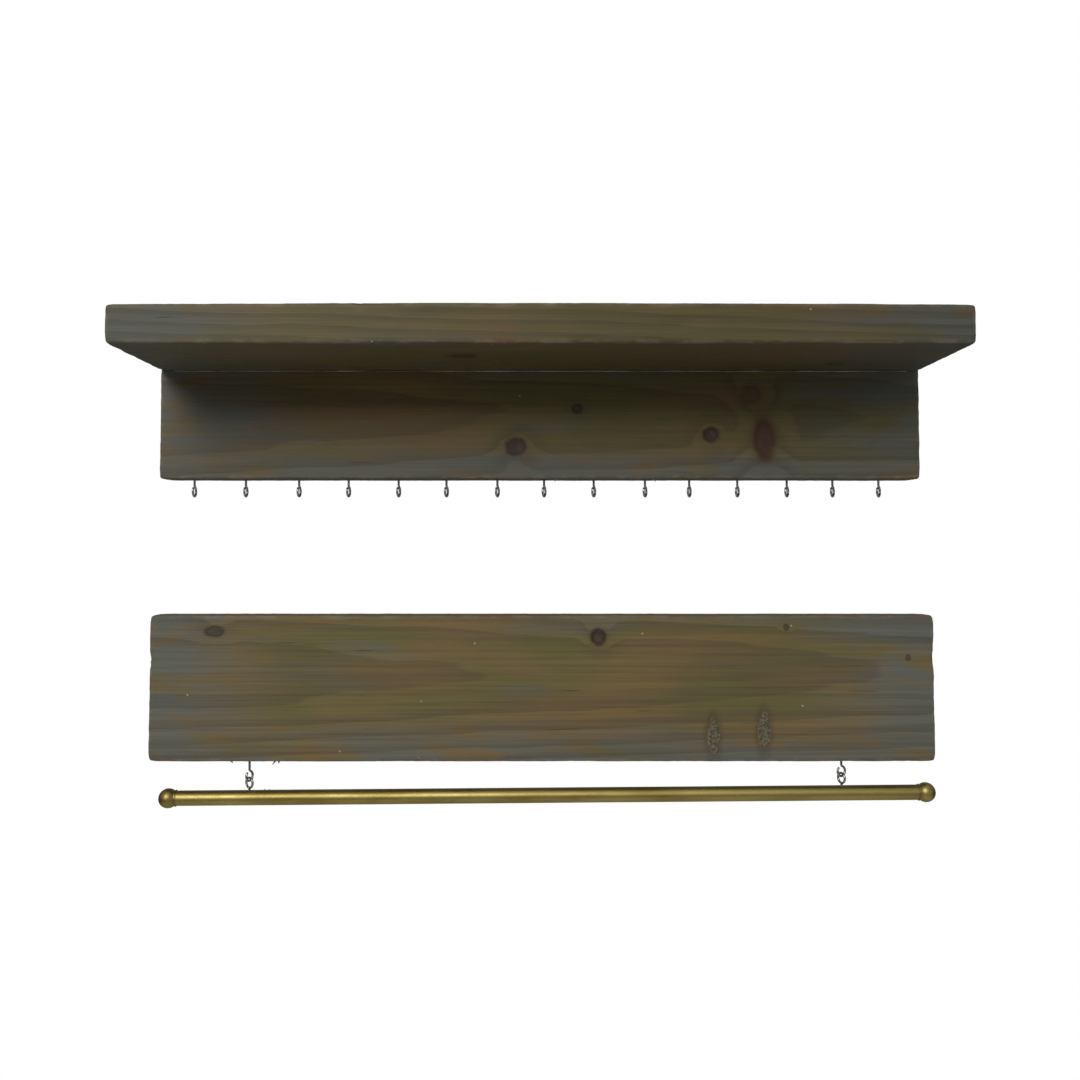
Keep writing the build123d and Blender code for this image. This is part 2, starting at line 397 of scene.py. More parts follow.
def stainedPine(name, look):
    # pine, planed, brushed with a thin grey-brown stain: soft mottling, low contrast rings, dull sheen
    material, tree, shader = newMaterial(name)
    place = millimetres(tree)
    xyz = addNode(tree, "SeparateXYZ", {}, {0: place})
    wobble = stretchNoise(tree, place, (90, 14, 14), 2.0, 0.5, look["shift"])
    jitter = stretchNoise(tree, place, (5, 5, 5), 3.0, 0.6, look["shift"])

    # growth rings about the pith, drifting along the board and swelling round each knot
    fromHeart = addNode(tree, "VectorMath", {"operation": "SUBTRACT"},
                        {0: place, 1: (0, look["heart"][0], look["heart"][1])})
    cross = addNode(tree, "VectorMath", {"operation": "MULTIPLY"}, {0: fromHeart.outputs[0], 1: (0, 1, 1)})
    radius = addNode(tree, "VectorMath", {"operation": "LENGTH"}, {0: cross.outputs[0]}).outputs["Value"]
    radius = addNode(tree, "Math", plus, radius, addNode(tree, "Math", times, xyz.outputs["X"], 0.022))
    radius = addNode(tree, "Math", plus, radius, addNode(tree, "Math", times, wobble, 4.5))
    knotMask, knotRed, rimMask = None, None, None
    for middle, halfSize, dark, red in look["knots"]:
        away = planeDistance(tree, place, middle, halfSize, look["across"])
        away = addNode(
            tree, "Math", plus, away,
            addNode(tree, "Math", times, addNode(tree, "Math", minus, jitter, 0.5), 0.9),
        )
        swell = addNode(tree, "MapRange", softStep, away, 4.6, 0.6)
        radius = addNode(
            tree, "Math", plus, radius, addNode(tree, "Math", times, swell, 0.9 * min(halfSize)),
        )
        core = addNode(tree, "Math", times, addNode(tree, "MapRange", softStep, away, 1.25, 0.55), dark)
        rim = addNode(
            tree, "Math", {**times, **held},
            addNode(
                tree, "Math", minus, addNode(tree, "MapRange", softStep, away, 1.55, 1.0),
                addNode(tree, "MapRange", softStep, away, 0.95, 0.6),
            ),
            dark,
        )
        tint = addNode(tree, "Math", times, addNode(tree, "MapRange", softStep, away, 2.1, 0.6), red)
        knotMask = core if knotMask is None else addNode(tree, "Math", larger, knotMask, core)
        rimMask = rim if rimMask is None else addNode(tree, "Math", larger, rimMask, rim)
        knotRed = tint if knotRed is None else addNode(tree, "Math", larger, knotRed, tint)
    cycle = addNode(tree, "Math", fraction, addNode(tree, "Math", dividedBy, radius, look["ringWidth"]))
    lateWood = addNode(
        tree, "Math", times, addNode(tree, "MapRange", softStep, cycle, 0.25, 0.9),
        addNode(tree, "MapRange", softStep, cycle, 1.0, 0.93),
    )

    # mottling of the stain, from broad patches down to single fibres, and a painted sheen of cool grey at
    # the ends and along the lower strip of each board
    broad = stretchNoise(tree, place, (95, 26, 26), 3.0, 0.55, (7, 5, 3))
    patchy = stretchNoise(tree, place, (42, 13, 13), 4.0, 0.6, look["shift"])
    streaks = stretchNoise(tree, place, (130, 1.9, 1.9), 4.0, 0.6, look["shift"])
    fibres = stretchNoise(tree, place, (45, 0.5, 0.5), 3.0, 0.7)
    # painted sheen: cool grey painted along the lower strip and towards both ends, a reflection of the
    # white surroundings
    lowSheenStrip = addNode(tree, "MapRange", softStep, xyz.outputs["Z"], look["coolLow"][0], look["coolLow"][1])
    ends = addNode(
        tree, "MapRange", softStep, addNode(tree, "Math", withoutSign, xyz.outputs["X"]),
        look["coolEnds"][0], look["coolEnds"][1],
    )
    colour = addNode(
        tree, "Mix", mixColour,
        {
            0: addNode(tree, "MapRange", softStep, broad, 0.36, 0.62), 6: srgb(pineTone["olive"]),
            7: srgb(pineTone["warm"]),
        },
    ).outputs[2]
    colour = addNode(
        tree, "Mix", mixColour,
        {
            0: addNode(
                tree, "Math", times, addNode(tree, "MapRange", softStep, patchy, 0.52, 0.75), 0.55,
            ),
            6: colour, 7: srgb(pineTone["red"]),
        },
    ).outputs[2]
    cloudy = addNode(
        tree, "MapRange", softStep, stretchNoise(tree, place, (34, 11, 11), 3.0, 0.6, (2, 8, 4)), 0.25,
        0.6,
    )
    # painted sheen, broken up into clouds
    paintedSheen = addNode(
        tree, "Math", times,
        addNode(tree, "Math", larger, ends, addNode(tree, "Math", times, lowSheenStrip, 0.9)), cloudy,
    )
    # grey streaks where the rings drift, plus the painted sheen
    greyToneAndSheen = addNode(
        tree, "Math", {**plus, **held}, paintedSheen,
        addNode(tree, "Math", times, addNode(tree, "MapRange", softStep, wobble, 0.52, 0.72), 0.45),
    )
    colour = addNode(tree, "Mix", mixColour, {0: greyToneAndSheen, 6: colour, 7: srgb(pineTone["cool"])}).outputs[2]
    colour = addNode(
        tree, "Mix", mixColour,
        {0: addNode(tree, "Math", times, lateWood, 0.32), 6: colour, 7: srgb("#3f382b")},
    ).outputs[2]
    value = addNode(
        tree, "Math", plus, addNode(tree, "Math", times, streaks, 0.62),
        addNode(tree, "Math", times, fibres, 0.3),
    )
    shade = addNode(tree, "MapRange", {}, {"Value": value, "From Min": 0.28, "From Max": 0.62,
                                                     "To Min": 0.78, "To Max": 1.2}).outputs[0]
    # each board a little darker from its left end towards x = 60 mm, by the two numbers in value
    along = addNode(tree, "MapRange", {"interpolation_type": "SMOOTHSTEP"},
                    {"Value": xyz.outputs["X"], "From Min": -190.0, "From Max": 60.0,
                     "To Min": look["value"][0], "To Max": look["value"][1]}).outputs[0]
    shade = addNode(tree, "Math", times, shade, along)
    lit = addNode(tree, "CombineXYZ", {}, {0: shade, 1: shade, 2: shade})
    colour = addNode(
        tree, "Mix", {**mixColour, "blend_type": "MULTIPLY"}, {0: 1.0, 6: colour, 7: lit.outputs[0]},
    ).outputs[2]

    # knots, resin tint and dark open cracks along the grain
    if knotMask is not None:
        colour = addNode(
            tree, "Mix", mixColour, {0: knotRed, 6: colour, 7: srgb(pineTone["knotRed"])},
        ).outputs[2]
        inner = addNode(
            tree, "Mix", mixColour,
            {
                0: addNode(tree, "MapRange", softStep, jitter, 0.35, 0.65),
                6: srgb(pineTone["knotDark"]), 7: srgb("#40362a"),
            },
        ).outputs[2]
        colour = addNode(tree, "Mix", mixColour, {0: knotMask, 6: colour, 7: inner}).outputs[2]
        colour = addNode(
            tree, "Mix", mixColour,
            {0: addNode(tree, "Math", times, rimMask, 0.8), 6: colour, 7: srgb("#1c1712")},
        ).outputs[2]
    crack = stretchNoise(tree, place, (38, 1.1, 1.1), 2.0, 0.5, (31, 17, 5))
    crackMask = addNode(tree, "MapRange", softStep, crack, 0.7, 0.77)
    colour = addNode(
        tree, "Mix", mixColour,
        {0: addNode(tree, "Math", times, crackMask, 0.6), 6: colour, 7: srgb("#2b261d")},
    ).outputs[2]

    # torn oblong places where the plane lifted the grain: pale, speckled, dark at the sides
    pitMask = None
    grit = stretchNoise(tree, place, (1.3, 1.3, 1.3), 4.0, 0.7, (3, 3, 3))
    for middle, halfSize in look["patches"]:
        away = planeDistance(tree, place, middle, halfSize, look["across"])
        away = addNode(
            tree, "Math", plus, away,
            addNode(tree, "Math", times, addNode(tree, "Math", minus, jitter, 0.5), 0.8),
        )
        shadow = addNode(tree, "MapRange", softStep, away, 1.9, 0.9)
        colour = addNode(
            tree, "Mix", mixColour,
            {0: addNode(tree, "Math", times, shadow, 0.5), 6: colour, 7: srgb("#41382b")},
        ).outputs[2]
        torn = addNode(tree, "MapRange", softStep, away, 1.05, 0.85)
        speckle = addNode(
            tree, "Mix", mixColour,
            {
                0: addNode(tree, "MapRange", softStep, grit, 0.4, 0.62), 6: srgb("#403a2d"),
                7: srgb("#6f6753"),
            },
        ).outputs[2]
        colour = addNode(
            tree, "Mix", mixColour, {0: addNode(tree, "Math", times, torn, 0.85), 6: colour, 7: speckle},
        ).outputs[2]
        pitMask = torn if pitMask is None else addNode(tree, "Math", larger, pitMask, torn)

    # rubbed edges and a few specks of dust
    wear = addNode(tree, "Attribute", {"attribute_name": "edgeWear"}).outputs["Fac"]
    rubbed = addNode(
        tree, "Math", times, wear,
        addNode(tree, "MapRange", softStep, stretchNoise(tree, place, (9, 4, 4)), 0.42, 0.66),
    )
    colour = addNode(
        tree, "Mix", mixColour,
        {0: addNode(tree, "Math", times, rubbed, 0.45), 6: colour, 7: srgb(pineTone["fresh"])},
    ).outputs[2]
    cells = addNode(tree, "TexVoronoi", {"feature": "F1"}, {"Vector": place, "Scale": 0.055})
    speck = addNode(tree, "MapRange", softStep, cells.outputs["Distance"], 0.034, 0.02)
    colour = addNode(
        tree, "Mix", mixColour,
        {0: addNode(tree, "Math", times, speck, 0.7), 6: colour, 7: srgb(pineTone["dust"])},
    ).outputs[2]
    tree.links.new(colour, shader.inputs["Base Color"])

    # relief: hard latewood stands up, fibres and cracks cut in
    relief = addNode(
        tree, "Math", plus, addNode(tree, "Math", times, lateWood, 0.35),
        addNode(tree, "Math", times, fibres, 0.5),
    )
    relief = addNode(tree, "Math", minus, relief, addNode(tree, "Math", times, crackMask, 0.8))
    relief = addNode(tree, "Math", plus, relief, addNode(tree, "Math", times, streaks, 0.5))
    if pitMask is not None:
        relief = addNode(
            tree, "Math", plus, relief,
            addNode(tree, "Math", times, pitMask, addNode(tree, "Math", times, grit, 2.5)),
        )
    bump = addNode(tree, "Bump", {}, {"Height": relief, "Strength": 0.55, "Distance": 0.3 * mm})
    tree.links.new(bump.outputs[0], shader.inputs["Normal"])
    rough = addNode(tree, "MapRange", {}, {"Value": streaks, "From Min": 0.3, "From Max": 0.7,
                                                     "To Min": 0.46, "To Max": 0.66}).outputs[0]
    tree.links.new(rough, shader.inputs["Roughness"])
    shader.inputs["IOR"].default_value = 1.45
    shader.inputs["Specular IOR Level"].default_value = 0.25  # the stain has no film on top
    return material


# metals and glue

def zincWire():
    # zinc-plated steel wire, drawn and bent: pale grey, soft reflections, faint draw lines and dull spots
    material, tree, shader = newMaterial("zincPlatedWire")
    place = millimetres(tree)
    cloud = stretchNoise(tree, place, (1.6, 1.6, 1.6), 3.0, 0.6)
    colour = addNode(
        tree, "Mix", mixColour,
        {
            0: addNode(tree, "MapRange", softStep, cloud, 0.35, 0.7), 6: srgb("#a9aaa4"),
            7: srgb("#7d7e76"),
        },
    ).outputs[2]
    tree.links.new(colour, shader.inputs["Base Color"])
    rough = addNode(tree, "MapRange", {}, {"Value": cloud, "To Min": 0.22, "To Max": 0.42}).outputs[0]
    tree.links.new(rough, shader.inputs["Roughness"])
    fine = stretchNoise(tree, place, (0.25, 0.25, 1.4), 2.0)
    bump = addNode(tree, "Bump", {}, {"Height": fine, "Strength": 0.25, "Distance": 0.05 * mm})
    tree.links.new(bump.outputs[0], shader.inputs["Normal"])
    shader.inputs["Metallic"].default_value = 1.0
    return material


def satinBrass():
    # brass bar, rubbed lengthwise: satin yellow, olive in the hollows, long fine lines
    material, tree, shader = newMaterial("satinBrass")
    place = millimetres(tree)
    tarnish = stretchNoise(tree, place, (45, 9, 9), 3.0, 0.6)
    spots = stretchNoise(tree, place, (3.5, 2.0, 2.0), 4.0, 0.65)
    colour = addNode(
        tree, "Mix", mixColour,
        {
            0: addNode(tree, "MapRange", softStep, tarnish, 0.35, 0.65), 6: srgb("#988a52"),
            7: srgb("#83733f"),
        },
    ).outputs[2]
    colour = addNode(
        tree, "Mix", mixColour,
        {
            0: addNode(tree, "Math", times, addNode(tree, "MapRange", softStep, spots, 0.56, 0.8), 0.4),
            6: colour, 7: srgb("#6a582e"),
        },
    ).outputs[2]
    tree.links.new(colour, shader.inputs["Base Color"])
    lines = stretchNoise(tree, place, (30, 0.22, 0.22), 2.0, 0.6)
    rough = addNode(tree, "MapRange", {}, {"Value": spots, "To Min": 0.38, "To Max": 0.54}).outputs[0]
    tree.links.new(rough, shader.inputs["Roughness"])
    bump = addNode(tree, "Bump", {}, {"Height": lines, "Strength": 0.22, "Distance": 0.06 * mm})
    tree.links.new(bump.outputs[0], shader.inputs["Normal"])
    shader.inputs["Metallic"].default_value = 1.0
    return material


def rolledZinc():
    # zinc-plated sheet, punched and tumbled: bright grey with cloudy crystals and roller marks
    material, tree, shader = newMaterial("zincPlatedSheet")
    place = millimetres(tree)
    flakes = addNode(tree, "TexVoronoi", {"feature": "F1"}, {"Vector": place, "Scale": 0.45})
    cloud = stretchNoise(tree, place, (6, 6, 6), 3.0, 0.6)
    tone = addNode(
        tree, "Math", plus, addNode(tree, "Math", times, flakes.outputs["Distance"], 0.35),
        addNode(tree, "Math", times, cloud, 0.65),
    )
    colour = addNode(
        tree, "Mix", mixColour,
        {0: addNode(tree, "MapRange", softStep, tone, 0.3, 0.7), 6: srgb("#b9b9b3"), 7: srgb("#8f9089")},
    ).outputs[2]
    tree.links.new(colour, shader.inputs["Base Color"])
    rough = addNode(tree, "MapRange", {}, {"Value": tone, "To Min": 0.28, "To Max": 0.5}).outputs[0]
    tree.links.new(rough, shader.inputs["Roughness"])
    lines = stretchNoise(tree, place, (0.4, 0.4, 12), 2.0)
    bump = addNode(tree, "Bump", {}, {"Height": lines, "Strength": 0.2, "Distance": 0.05 * mm})
    tree.links.new(bump.outputs[0], shader.inputs["Normal"])
    shader.inputs["Metallic"].default_value = 1.0
    return material


def yellowZinc():
    # passivated zinc screw, rolled thread: yellowish steel, brighter on rubbed rims
    material, tree, shader = newMaterial("yellowZincScrew")
    place = millimetres(tree)
    cloud = stretchNoise(tree, place, (1.8, 1.8, 1.8), 3.0, 0.6)
    colour = addNode(
        tree, "Mix", mixColour,
        {
            0: addNode(tree, "MapRange", softStep, cloud, 0.35, 0.68), 6: srgb("#b8a877"),
            7: srgb("#938a72"),
        },
    ).outputs[2]
    tree.links.new(colour, shader.inputs["Base Color"])
    rough = addNode(tree, "MapRange", {}, {"Value": cloud, "To Min": 0.25, "To Max": 0.45}).outputs[0]
    tree.links.new(rough, shader.inputs["Roughness"])
    shader.inputs["Metallic"].default_value = 1.0
    return material


def driedGlue():
    # squeezed-out wood glue with a little stain over it: pale grey, half gloss
    material, tree, shader = newMaterial("driedGlue")
    place = millimetres(tree)
    cloud = stretchNoise(tree, place, (14, 3, 3), 3.0, 0.6)
    colour = addNode(
        tree, "Mix", mixColour,
        {
            0: addNode(tree, "MapRange", softStep, cloud, 0.35, 0.62), 6: srgb("#56554b"),
            7: srgb("#8f8f84"),
        },
    ).outputs[2]
    tree.links.new(colour, shader.inputs["Base Color"])
    shader.inputs["Roughness"].default_value = 0.42
    return material


shelfWood = stainedPine("stainedPineShelf", shelfPine)
backWood = stainedPine("stainedPineBack", backPine)
rodBoardWood = stainedPine("stainedPineRodBoard", rodBoardPine)
wireZinc = zincWire()
brass = satinBrass()
sheetZinc = rolledZinc()
screwZinc = yellowZinc()
glue = driedGlue()
print("materials ready")


# boards

# places in millimetres; dents are middle, half size, depth
shelfPlank = {
    "seed": 3.0, "easing": 1.1, "ripple": 0.16, "wear": 0.5, "cornerWear": 0.8, "gridStep": 1.5,
    "crown": 0.7,
    "dents": [
        ((64.0, -95.0, 27.8), (7.0, 3.0, 2.4), 0.5), ((-71.6, -95.0, 29.2), (5.0, 3.0, 0.9), 0.4),
        ((-83.2, -95.0, 36.6), (2.4, 2.0, 1.4), 0.5), ((22.0, -95.0, 19.6), (9.0, 2.4, 1.6), 0.7),
        ((52.0, -95.0, 19.4), (4.0, 2.4, 1.5), 0.8), ((-53.3, -95.0, 30.1), (9.0, 2.0, 3.0), 0.25),
    ],
}
backPlank = {
    "seed": 11.0, "easing": 0.8, "ripple": 0.14, "wear": 0.45, "cornerWear": 0.5, "gridStep": 1.25,
    "dents": [((89.8, -19.0, -14.8), (3.4, 2.0, 3.0), 0.6), ((-12.7, -19.0, -21.1), (3.8, 2.0, 3.6), 0.35),
              ((117.9, -19.0, -19.0), (4.0, 2.0, 7.0), 0.25)],
}
rodPlank = {
    "seed": 23.0, "easing": 0.9, "ripple": 0.16, "wear": 0.5, "cornerWear": 1.1, "gridStep": 1.25,
    "dents": [
        ((90.4, -19.0, -173.2), (3.8, 2.0, 9.5), 0.8), ((116.8, -19.0, -169.5), (3.8, 2.0, 10.0), 0.8),
        ((30.4, -19.0, -121.0), (2.4, 2.0, 3.0), 0.5), ((-204.0, -19.0, -133.0), (1.6, 3.0, 3.5), 0.9),
        ((206.0, -19.0, -130.0), (1.5, 3.0, 7.0), 0.7), ((-108.0, -19.0, -114.2), (20.0, 2.0, 0.8), 0.3),
    ],
}


def subdivideAlong(piece, axis, least, cuts):
    def isLong(a, b):
        run = b - a
        return run.length > least and abs(run[axis]) > 0.999 * run.length
    selectEdges(piece, isLong)
    bpy.ops.mesh.subdivide(number_cuts=cuts)


def weatherPlank(piece, low, high, plank):
    # pushes the surface in: worn edges, slow ripple from the plane, dents, a crowned top
    mesh = piece.data
    wearMark = mesh.attributes.new("edgeWear", "FLOAT", "POINT")
    marks = []
    seed = plank["seed"]
    lowMm, highMm = low / mm, high / mm
    for vert in mesh.vertices:
        p = vert.co / mm
        gaps = sorted(min(p[i] - lowMm[i], highMm[i] - p[i]) for i in range(3))
        toEdge = sqrt(max(gaps[0], 0) ** 2 + max(gaps[1], 0) ** 2)
        toCorner = sqrt(sum(max(g, 0) ** 2 for g in gaps))
        ripple = 0.5 + 0.5 * noise.noise(Vector((p.x * 0.013 + seed, p.y * 0.05, p.z * 0.05)))
        grain = 0.5 + 0.5 * noise.noise(Vector((p.x * 0.03, p.y * 0.55 + seed, p.z * 0.55)))
        depth = plank["ripple"] * ripple + 0.07 * grain
        rub = noise.noise(Vector((p.x * 0.045 + seed * 3, p.y * 0.11, p.z * 0.11)))
        near = max(0.0, 1 - toEdge / 2.8)
        if near > 0:
            chip = noise.noise(Vector((p.x * 0.35 + seed, p.y * 0.35, p.z * 0.35)))
            depth += plank["wear"] * near * near * max(0.0, 0.35 + rub + 0.5 * chip)
        corner = max(0.0, 1 - toCorner / 5.0)
        depth += plank["cornerWear"] * corner * corner
        for middle, size, deep in plank["dents"]:
            if abs(p.x - middle[0]) < 1.4 * size[0]:
                away = sqrt(sum(((p[i] - middle[i]) / size[i]) ** 2 for i in range(3)))
                if away < 1.4:
                    rough = 0.75 + 0.5 * noise.noise(p * 0.8)
                    depth += deep * rough * (1 - (away / 1.4) ** 2)
        # towards the heart of the board, so worn corners never cross over
        heart = Vector(min(max(p[i], lowMm[i] + 6), highMm[i] - 6) for i in range(3))
        inward = (heart - p).normalized()
        move = inward * depth
        sag = plank.get("crown", 0.0) * (2 * (p.x - lowMm.x) / (highMm.x - lowMm.x) - 1) ** 2
        move.z -= sag * max(0.0, (p.z - lowMm.z) / (highMm.z - lowMm.z))
        vert.co = vert.co + move * mm
        marks.append(max(0.0, 1 - toEdge / 2.2) * (0.65 + 0.35 * rub))
    wearMark.data.foreach_set("value", marks)
    mesh.update()


def plankBlank(node, plank):
    low, high = (Vector(corner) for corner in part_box(node))
    middle, size = (low + high) / 2, high - low
    letGo()
    bpy.ops.mesh.primitive_cube_add(size=1, location=middle)
    piece = bpy.context.object
    pick(piece)
    bpy.ops.object.transform_apply(location=True, rotation=False, scale=False)
    editAll(piece)
    bpy.ops.transform.resize(value=size, center_override=middle)
    bpy.ops.mesh.bevel(offset=plank["easing"] * mm, segments=4, profile=0.5, affect="EDGES")
    for axis in (0, 2, 1):
        span = size[axis] - 2 * plank["easing"] * mm
        parts = max(2, round(span / (plank["gridStep"] * mm)))
        while parts > 1:  # one pass can't make more than a hundred cuts
            cuts = min(parts, 20)
            subdivideAlong(piece, axis, span * 0.6, cuts - 1)
            span /= cuts
            parts = round(parts / cuts)
    letGo()
    weatherPlank(piece, low, high, plank)
    return piece


def stadium(middle, half, radius, deep):
    # upright slot-shaped block that stands through the back of a board
    letGo()
    bpy.ops.mesh.primitive_cylinder_add(vertices=64, radius=radius, depth=2 * deep, location=middle,
                                        rotation=(pi / 2, 0, 0))
    block = bpy.context.object
    pick(block)
    bpy.ops.object.transform_apply(location=True, rotation=True, scale=True)
    for way in (1, -1):
        bpy.ops.object.mode_set(mode="EDIT")
        selectVerts(block, lambda co: (co.z - middle[2]) * way > 1e-6)
        bpy.ops.transform.translate(value=(0, 0, way * half))
        bpy.ops.object.mode_set(mode="OBJECT")
    return block


hangerSeat = {"plateGap": 0.15, "pocketRadius": 5.5, "pocketDepth": 9.0, "lift": 10.0}


def hangerSeats(nodes):
    blocks = []
    for node in nodes:
        low, high = (Vector(corner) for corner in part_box(node))
        middle = (low + high) / 2
        radius = (high.x - low.x) / 2
        half = (high.z - low.z) / 2 - radius
        seat = stadium((middle.x, 0, middle.z), half, radius + hangerSeat["plateGap"] * mm, high.y - low.y)
        pocket = stadium((middle.x, 0, middle.z), hangerSeat["lift"] * mm / 2,
                         hangerSeat["pocketRadius"] * mm, hangerSeat["pocketDepth"] * mm)
        blocks += [seat, pocket]
    return blocks


def countersinks(nodes):
    blocks = []
    for node in nodes:
        low, high = (Vector(corner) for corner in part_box(node))
        middle = (low + high) / 2
        blocks.append(
            stadium((middle.x, 0, middle.z), 0, (high.x - low.x) / 2 + 0.15 * mm, -high.y + 0.4 * mm)
        )
    return blocks


def addSplinters(piece, splinters):
    # torn fibres along a lower edge: place, length, lean
    for place, length, lean in splinters:
        letGo()
        bpy.ops.mesh.primitive_cone_add(vertices=6, radius1=0.55 * mm, radius2=0.08 * mm, depth=length * mm,
                                        location=Vector(place) * mm, rotation=(pi, radians(lean), 0))
        sliver = bpy.context.object
        editAll(sliver)
        bpy.ops.transform.resize(value=(1.5, 0.6, 1), center_override=Vector(place) * mm)
        bpy.ops.mesh.subdivide(number_cuts=1)
        pick(sliver)
        bpy.ops.object.transform_apply(location=True, rotation=True, scale=True)
        sliver.select_set(True)
        piece.select_set(True)
        bpy.context.view_layer.objects.active = piece
        bpy.ops.object.join()


shelf = plankBlank("shelf_board", shelfPlank)
back = plankBlank("back_board", backPlank)
rodBoard = plankBlank("rod_board", rodPlank)
print("boards cut")
cutWith(back, joinBlocks(hangerSeats(("upper_hanger_left", "upper_hanger_right"))
                         + countersinks(("shelf_screw_1", "shelf_screw_2", "shelf_screw_3"))))
cutWith(rodBoard, joinBlocks(hangerSeats(("lower_hanger_left", "lower_hanger_right"))))
print("hanger seats cut")
addSplinters(
    back,
    [((8.4, -17.8, -38.3), 2.6, 20), ((59.6, -18.0, -38.2), 3.0, -35), ((-26.0, -17.6, -38.1), 1.6, 10)],
)
addSplinters(
    rodBoard,
    [
        ((-138.4, -18.0, -185.9), 3.2, 28), ((-136.0, -17.6, -185.7), 1.8, 5),
        ((-160.5, -17.8, -185.6), 1.6, -30),
    ],
)
for piece, name, body, wood, node in (
    (shelf, "shelfPlank", "upper_unit", shelfWood, "shelf_board"),
    (back, "backPlank", "upper_unit", backWood, "back_board"),
    (rodBoard, "rodPlank", "lower_unit", rodBoardWood, "rod_board"),
):
    settle(piece, 40)
    finishPiece(piece, name, body, wood, (node,))
print("boards finished")


def glueLine():
    # thin uneven bead in the corner under the shelf
    glueBead = {"width": 0.9, "height": 0.7, "inset": 7.0, "seed": 5.0}
    low = Vector(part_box("shelf_board")[0])
    high = Vector(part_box("shelf_board")[1])
    letGo()
    middle = Vector((0, high.y - 0.25 * glueBead["width"] * mm, low.z - 0.2 * glueBead["height"] * mm))
    bpy.ops.mesh.primitive_cylinder_add(vertices=8, radius=0.5 * glueBead["width"] * mm,
                                        depth=high.x - low.x - 2 * glueBead["inset"] * mm,
                                        location=middle, rotation=(0, pi / 2, 0))
    bead = bpy.context.object
    pick(bead)
    bpy.ops.object.transform_apply(location=True, rotation=True, scale=True)
    bpy.ops.object.mode_set(mode="EDIT")
    subdivideAlong(bead, 0, 0.2, 19)
    subdivideAlong(bead, 0, 0.015, 14)
    letGo()
    for vert in bead.data.vertices:
        away = vert.co - Vector((vert.co.x, middle.y, middle.z))
        swell = 0.55 + 0.45 * noise.noise(Vector((vert.co.x / mm * 0.06 + glueBead["seed"], 0, 0)))
        swell += 0.25 * noise.noise(Vector((vert.co.x / mm * 0.4, away.y / mm, away.z / mm)))
        vert.co = Vector((vert.co.x, middle.y, middle.z)) + away * max(0.2, swell)
    settle(bead, 60)
    finishPiece(bead, "glueLine", "upper_unit", glue)


glueLine()


# wire hooks and eyes

wire = {"radius": 0.6, "loop": 2.6, "neck": 1.0, "sides": 14, "tip": 140.0, "threadCore": 0.62,
        "threadPitch": 1.0, "point": 2.0}
neckTurn = acos(wire["neck"] / (wire["neck"] + wire["loop"]))


def spinWire(angle, centre, axis, steps):
    # this operator turns against the right-hand rule, so the angle is given the other sign
    bpy.ops.mesh.spin(steps=steps, angle=-angle, center=centre, axis=axis)


def bendWire(foot, up, across, drop, tip, threadLength):
    # up is 1 for a piece screwed upwards into a board and -1 for an eye screwed down into the rod.
    # The wire starts at the point of its thread and is drawn out, bent at the neck and round the loop.
    letGo()
    pointPlace = foot + Vector((0, 0, up * threadLength))
    bpy.ops.mesh.primitive_circle_add(vertices=wire["sides"], radius=0.12 * mm, location=pointPlace,
                                      fill_type="NGON")
    piece = bpy.context.object
    pick(piece)
    bpy.ops.object.transform_apply(location=True, rotation=True, scale=True)
    editAll(piece)
    core = wire["threadCore"]
    straight = threadLength / mm - wire["point"] - 0.8
    steps = [((0, 0, -up * wire["point"] * 0.5 * mm), 0.6 * core / 0.12),
             ((0, 0, -up * wire["point"] * 0.5 * mm), 1 / 0.6),
             ((0, 0, -up * straight * mm), 1),
             ((0, 0, -up * 0.8 * mm), wire["radius"] / core)]
    middle = stepOut(steps, pointPlace)
    middle = stepOut([((0, 0, -up * drop / 2), 1), ((0, 0, -up * drop / 2), 1)], middle)
    axis = across.cross(Vector((0, 0, 1)))
    neckCentre = middle + across * wire["neck"] * mm
    spinWire(up * neckTurn, neckCentre, axis, 7)
    loopCentre = middle + Vector((0, 0, -up * (wire["neck"] + wire["loop"]) * sin(neckTurn) * mm))
    spinWire(-up * (neckTurn + 2 * pi - radians(tip)), loopCentre, axis, 40)
    bm = bmesh.from_edit_mesh(piece.data)
    lastRing = [vert.co.copy() for vert in bm.verts if vert.select]
    end = sum(lastRing, Vector()) / len(lastRing)
    outward = (end - loopCentre).normalized()
    ahead = outward.cross(axis) * up
    r = wire["radius"] * mm
    stepOut([(ahead * 0.35 * r, 0.93), (ahead * 0.35 * r, 0.76), (ahead * 0.2 * r, 0.5)], end)
    letGo()
    addThread(piece, foot, up, threadLength)
    return piece, loopCentre


